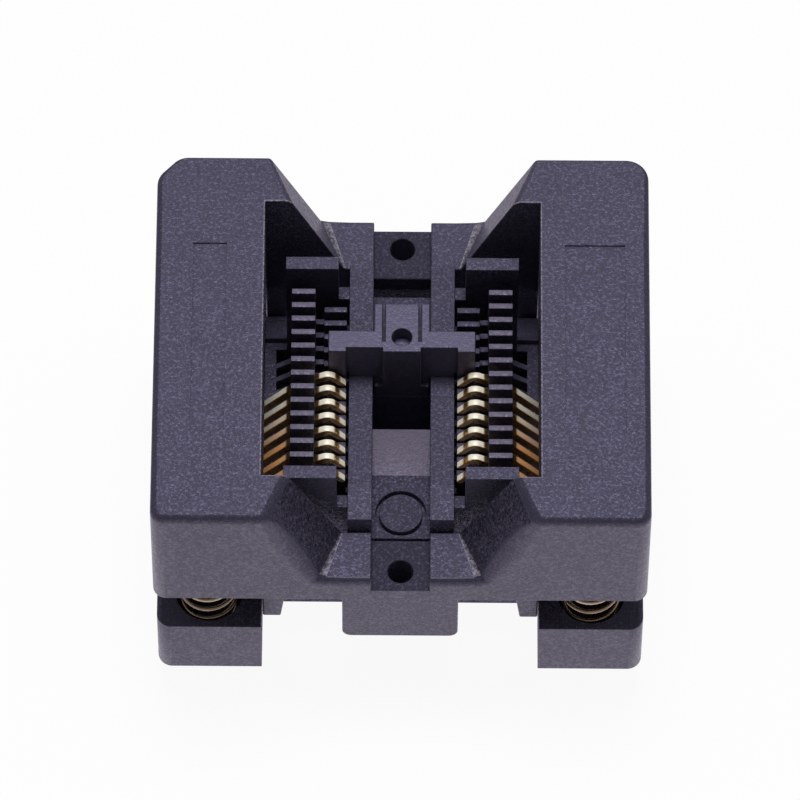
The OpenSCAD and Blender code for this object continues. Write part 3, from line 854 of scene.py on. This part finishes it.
@dataclass
class Housing:
    """The base with its comb, seat and feet, and the insert that stops the package."""

    edge: float = 0.03 * MM
    insert_edge: float = 0.05 * MM
    ramp_half: float = 1.25 * MM
    ramp_tilt: float = 0.3
    ramp_lean: Span = (-0.9, -0.3)
    ramp_skew: float = 0.01
    ramp_area: float = MM * MM
    comb_top: float = 9.69 * MM
    comb_play: float = 0.1 * MM
    comb_span: Span = (3.5 * MM, 4.7 * MM)
    # Share of the paler colour on the comb's tops
    comb_pale: float = 0.75
    floor_span: Span = (6.0 * MM, 8.05 * MM)
    # Painted shade, with a rougher skin, on the seat's level floors, stronger on those below ring_top
    floor_shade: float = 0.25
    ring_top: float = 7.0 * MM
    ring_shade: float = 0.55
    slot_floor: float = 1.6 * MM
    slot_end: float = 5.4 * MM

    def is_edge(self, edge: bmesh.types.BMEdge) -> bool:
        """Tells whether an edge gets the small round, which the stems' holes lack: the slot walls are too near.

        Args:
            edge: The edge.

        Returns:
            True for an outer edge away from those holes.
        """
        ends = [vert.co for vert in edge.verts]
        hole = all(abs(end.z - self.slot_floor) < HAIR and abs(end.x) < self.slot_end for end in ends)
        return is_outer(edge) and not hole

    def is_ramp(self, face: bmesh.types.BMFace) -> bool:
        """Tells whether a face is the ramp in the trough, which gets a paler colour.

        Args:
            face: The face.

        Returns:
            True for the ramp.
        """
        lean, tilt = face.normal.y, face.normal.z
        slopes = self.ramp_lean[0] < lean < self.ramp_lean[1] and tilt > self.ramp_tilt
        slopes = slopes and abs(face.normal.x) < self.ramp_skew
        return slopes and abs(face.calc_center_median().x) < self.ramp_half and face.calc_area() > self.ramp_area

    def build(self, shop: Workshop) -> None:
        """Builds and dresses the base and the insert.

        Args:
            shop: The nodes and finishes.
        """
        mesh = shop.copy_of("base_housing")
        round_edges(mesh, self.is_edge, self.edge, EDGE_STEPS)
        pale_patch = mesh.faces.layers.float.new(PALE_PATCH)
        shade_and_matte = mesh.faces.layers.float.new(SHADE_AND_MATTE)
        for face in mesh.faces:
            middle = face.calc_center_median()
            level = face.normal.z > LEVEL
            comb = level and abs(middle.z - self.comb_top) < self.comb_play
            comb = comb and self.comb_span[0] < abs(middle.x) < self.comb_span[1]
            # The ramp and the comb's tops get a paler colour
            face[pale_patch] = float(self.is_ramp(face)) or self.comb_pale * comb
            floor = level and self.floor_span[0] < middle.z < self.floor_span[1]
            # Painted shade on the seat's level floors and the ring plate
            face[shade_and_matte] = floor * (self.ring_shade if middle.z < self.ring_top else self.floor_shade)
        mark_skin(mesh)
        shop.finish(mesh, "housing", Body.BASE, Slot.MOULDED, "base_housing")
        mesh = shop.copy_of("rear_stop")
        round_edges(mesh, is_outer, self.insert_edge, EDGE_STEPS)
        shop.finish(mesh, "stop_insert", Body.BASE, Slot.INSERT, "rear_stop")


@dataclass
class CoilSprings:
    """Four coil springs under the corners of the cover."""

    across: float = 2.5 * MM
    wire: float = 0.2 * MM
    wire_sides: int = 12
    foot: float = 1.49 * MM
    length: float = 6.98 * MM
    turns: int = 8
    end_rise: float = 0.21 * MM
    place: Span = (7.94 * MM, 6.95 * MM)
    travel: float = 2.0 * MM
    steps: int = 36

    def coil(self, x: float, y: float) -> bmesh.types.BMesh:
        """Winds one spring by turning a ring of wire about its axis.

        Args:
            x: The axis along X.
            y: The axis along Y.

        Returns:
            The spring.
        """
        mesh = bmesh.new()
        radius = (self.across - self.wire) / 2
        bmesh.ops.create_circle(mesh, cap_ends=False, radius=self.wire / 2, segments=self.wire_sides)
        bmesh.ops.rotate(mesh, verts=mesh.verts, matrix=Matrix.Rotation(math.pi / 2, 3, "X"))
        bmesh.ops.translate(mesh, verts=mesh.verts, vec=(x + radius, y, self.foot + self.wire / 2))
        pitch = (self.length - self.wire - 2 * self.end_rise) / self.turns
        last = list(mesh.edges)
        for turns, rise in ((1, self.end_rise), (self.turns, pitch), (1, self.end_rise)):
            spun = bmesh.ops.spin(mesh, geom=last, cent=(x, y, 0), axis=(0, 0, 1), dvec=(0, 0, rise / self.steps),
                                  angle=turns * 2 * math.pi, steps=turns * self.steps)
            last = [part for part in spun["geom_last"] if isinstance(part, bmesh.types.BMEdge)]
        bmesh.ops.holes_fill(mesh, edges=[edge for edge in mesh.edges if edge.is_boundary], sides=0)
        bmesh.ops.recalc_face_normals(mesh, faces=mesh.faces)
        return mesh

    def build(self, shop: Workshop) -> None:
        """Builds and dresses the springs.

        Args:
            shop: The nodes and finishes.
        """
        for end in End:
            for side in Side:
                name = f"{end.value}_{side.value}"
                x, y = side.sign * self.place[0], end.sign * self.place[1]
                piece = shop.finish(self.coil(x, y), f"coil_{name}", Body.BASE, Slot.WIRE, f"spring_{name}")
                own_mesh(piece)


@dataclass
class Contacts:
    """Two rows of stamped contacts: a fixed stem and a swinging arm each."""

    edge: float = 0.045 * MM
    flat_side: float = 0.9
    highlight_side: float = 0.8

    def is_stamped(self, edge: bmesh.types.BMEdge) -> bool:
        """Tells whether an edge runs between a strip's flat side and its stamped rim.

        Args:
            edge: The edge.

        Returns:
            True for an edge of the flat sides.
        """
        return edge.is_manifold and sum(abs(face.normal.y) > self.flat_side for face in edge.link_faces) == 1

    def build(self, shop: Workshop) -> None:
        """Builds and dresses both rows.

        Args:
            shop: The nodes and finishes.
        """
        for side in Side:
            for number in range(1, LEADS_PER_SIDE + 1):
                for part, body in (("stem", Body.BASE), ("arm", side.arms)):
                    node = f"contact_{part}_{side.value}_{number}"
                    mesh = shop.copy_of(node)
                    round_edges(mesh, self.is_stamped, self.edge, EDGE_STEPS)
                    # The stamped rims take the satin skin and the painted highlight
                    satin_highlight = mesh.faces.layers.float.new(SATIN_HIGHLIGHT)
                    for face in mesh.faces:
                        face[satin_highlight] = float(abs(face.normal.y) < self.highlight_side)
                    shop.finish(mesh, f"{part}_{side.value}_{number}", body, Slot.GOLD, node)


@dataclass
class Studio:
    """The camera, the floor and a soft sky that leans to the rear."""

    distance: float = 362.7 * MM
    elevation: float = 60.0
    rise: float = 3.7146 * MM
    shift: float = -0.064 * MM
    roll: float = 0.4
    lens: float = 385.07
    sensor: float = 36.0
    clip: Span = (0.01, 20.0)
    floor_half: float = 3.0
    floor_colour: Colour = (0.86, 0.86, 0.87)
    floor_roughness: float = 0.9
    floor_gloss: float = 0.1
    floor_glow: float = 0.93
    floor_cast: Colour = (0.97, 0.91, 1.0)
    white: Colour = (1.0, 1.0, 1.0)
    sky: float = 0.42
    room: float = 0.3
    sky_lean: float = 37.0
    sky_edge: Span = (0.35, 0.72)
    lamp_lean: float = 8.0
    lamp_reach: float = 0.5
    lamp_width: float = 0.15
    lamp_power: float = 1.5

    def camera(self) -> None:
        """Sets the camera where the photograph was taken from."""
        tilt = math.radians(self.elevation)
        up = Vector((0, math.sin(tilt), math.cos(tilt)))
        ahead = Vector((0, math.cos(tilt), -math.sin(tilt)))
        data = bpy.data.cameras.new("camera")
        data.lens = self.lens
        data.sensor_width = self.sensor
        data.clip_start, data.clip_end = self.clip
        camera = bpy.data.objects.new("camera", data)
        bpy.context.scene.collection.objects.link(camera)
        camera.location = up * self.rise - ahead * self.distance + Vector((self.shift, 0, 0))
        turn = Matrix.Rotation(math.radians(90 - self.elevation), 3, "X")
        camera.rotation_euler = (turn @ Matrix.Rotation(math.radians(self.roll), 3, "Z")).to_euler()
        bpy.context.scene.camera = camera

    def floor(self, height: float) -> None:
        """Lays a plain white floor under the socket.

        Args:
            height: The floor's height.
        """
        mesh = bmesh.new()
        bmesh.ops.create_grid(mesh, x_segments=2, y_segments=2, size=self.floor_half)
        bmesh.ops.translate(mesh, verts=mesh.verts, vec=(0, 0, height))
        data = bpy.data.meshes.new("studio_floor")
        mesh.to_mesh(data)
        mesh.free()
        made = bpy.data.materials.new("white_floor")
        made.use_nodes = True
        graph = Graph(made.node_tree)
        shader = made.node_tree.nodes["Principled BSDF"]
        shader.inputs["Base Color"].default_value = rgba(self.floor_colour)
        shader.inputs["Roughness"].default_value = self.floor_roughness
        shader.inputs["Specular IOR Level"].default_value = self.floor_gloss
        path = graph.add("ShaderNodeLightPath").outputs
        seen = graph.math("MULTIPLY", path["Is Camera Ray"], self.floor_glow)
        seen = graph.math("MAXIMUM", seen, path["Is Glossy Ray"])
        seen = graph.math("MAXIMUM", seen, path["Is Transmission Ray"])
        cast = graph.mix(path["Is Glossy Ray"], rgba(self.white), rgba(self.floor_cast))
        glow = graph.add("ShaderNodeEmission", {"Color": cast, "Strength": 1.0})
        both = graph.add("ShaderNodeMixShader", {0: seen, 1: shader.outputs[0], 2: glow.outputs[0]})
        made.node_tree.links.new(both.outputs[0], made.node_tree.nodes["Material Output"].inputs[0])
        data.materials.append(made)
        floor = bpy.data.objects.new("studio_floor", data)
        bpy.context.scene.collection.objects.link(floor)
        floor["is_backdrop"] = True

    def lamp(self) -> None:
        """Hangs a soft square lamp above and behind the socket."""
        lean = math.radians(self.lamp_lean)
        place = Vector((0, math.sin(lean), math.cos(lean))) * self.lamp_reach
        data = bpy.data.lights.new("softbox", "AREA")
        data.shape = "SQUARE"
        data.size = self.lamp_width
        data.energy = self.lamp_power
        lamp = bpy.data.objects.new("softbox", data)
        lamp.location = place
        lamp.rotation_euler = (-place).to_track_quat("-Z", "Y").to_euler()
        bpy.context.scene.collection.objects.link(lamp)

    def light(self) -> None:
        """Lights the socket with a soft sky that leans to the rear, over a dimmer room."""
        world = bpy.data.worlds.new("studio")
        world.use_nodes = True
        bpy.context.scene.world = world
        graph = Graph(world.node_tree)
        back = world.node_tree.nodes["Background"]
        back.inputs["Color"].default_value = rgba(self.white)
        way = graph.add("ShaderNodeTexCoord").outputs["Generated"]
        lean = math.radians(self.sky_lean)
        middle = (0, math.sin(lean), math.cos(lean))
        near = graph.add("ShaderNodeVectorMath", {0: way, 1: middle}, operation="DOT_PRODUCT").outputs["Value"]
        sky = graph.spread(near, *self.sky_edge, self.room, self.sky)
        seen = graph.add("ShaderNodeLightPath").outputs["Is Camera Ray"]
        light = graph.add("ShaderNodeMix", {0: seen, 2: sky, 3: 1.0}, data_type="FLOAT")
        world.node_tree.links.new(light.outputs[0], back.inputs["Strength"])
        self.lamp()

    def build(self, lowest: float) -> None:
        """Sets up the camera, the floor and the light.

        Args:
            lowest: Height of the socket's lowest point.
        """
        self.camera()
        self.floor(lowest)
        self.light()
        bpy.context.scene.view_settings.view_transform = "Standard"


FINISHES: dict[Slot, MouldedPlastic | PlatedMetal] = {
    Slot.MOULDED: MouldedPlastic(
        name="matte_housing_plastic", colour=(0.011, 0.0102, 0.0145), fleck=(0.13, 0.12, 0.155), fleck_share=0.55,
        roughness=(0.44, 0.86), grain=7000.0, bump=0.8),
    Slot.INSERT: MouldedPlastic(
        name="smooth_insert_plastic", colour=(0.02, 0.0185, 0.026), fleck=(0.12, 0.113, 0.14), fleck_share=0.5,
        roughness=(0.42, 0.6), grain=6500.0, bump=0.5),
    Slot.GOLD: PlatedMetal(
        name="gold_contact_plate", bright=(1.0, 0.74, 0.36), deep=(0.92, 0.56, 0.2), roughness=(0.26, 0.36),
        bump=0.15),
    Slot.WIRE: PlatedMetal(
        name="bronze_spring_wire", bright=(0.62, 0.49, 0.36), deep=(0.32, 0.235, 0.165), roughness=(0.22, 0.36),
        bump=0.2),
}


def main() -> None:
    """Builds the socket's pieces in order and reports each one."""
    logging.basicConfig(level=logging.INFO, format="%(message)s")
    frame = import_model()
    cad_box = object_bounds()
    groups = {"mould_grain": mould_grain_group(), "plated_skin": plated_skin_group()}
    shop = Workshop(frame["nodes"], {slot: finish.material(groups) for slot, finish in FINISHES.items()})
    Studio().build(cad_box[0].z)
    for assembly in (Housing(), Cover(), CoilSprings(), Contacts()):
        assembly.build(shop)


if __name__ == "__main__":
    main()
